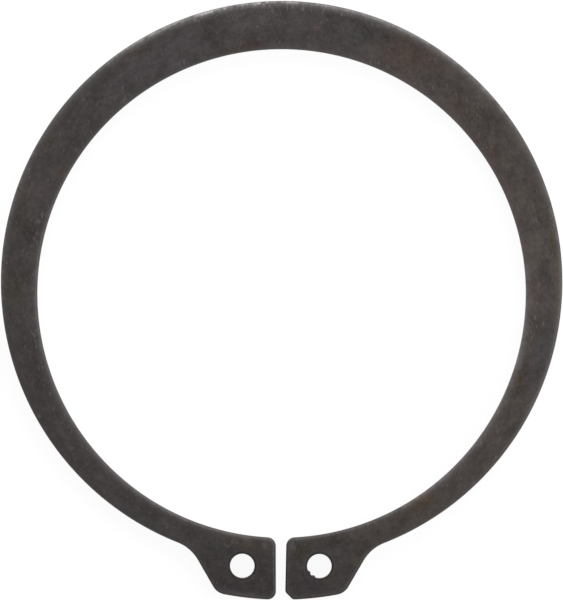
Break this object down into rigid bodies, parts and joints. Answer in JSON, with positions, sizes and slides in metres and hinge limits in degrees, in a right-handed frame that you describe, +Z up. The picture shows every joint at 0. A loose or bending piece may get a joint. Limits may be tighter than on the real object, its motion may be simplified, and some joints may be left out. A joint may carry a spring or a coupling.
{
  "type": "external circlip",
  "caption": "Flat external retaining ring that snaps into the groove of a round shaft, with a tapering beam and two eared ends with holes for circlip pliers.",
  "frame": {"origin": "on the bore axis, in the plane of the underside the ring lies on", "axes": "+Z up along the bore axis, -Y from the bore axis to the gap between the lugs, +X to the right seen from above with the lugs nearest"},
  "size_m": [0.0698, 0.0745, 0.0025],
  "materials": {
    "spring_steel": "dark phosphated and oiled spring steel, satin, with faint brown rust bloom and lighter scuffs along the rolled edges"
  },
  "bodies": {
    "root": {"circlip": "spring_steel"}
  },
  "joints": []
}
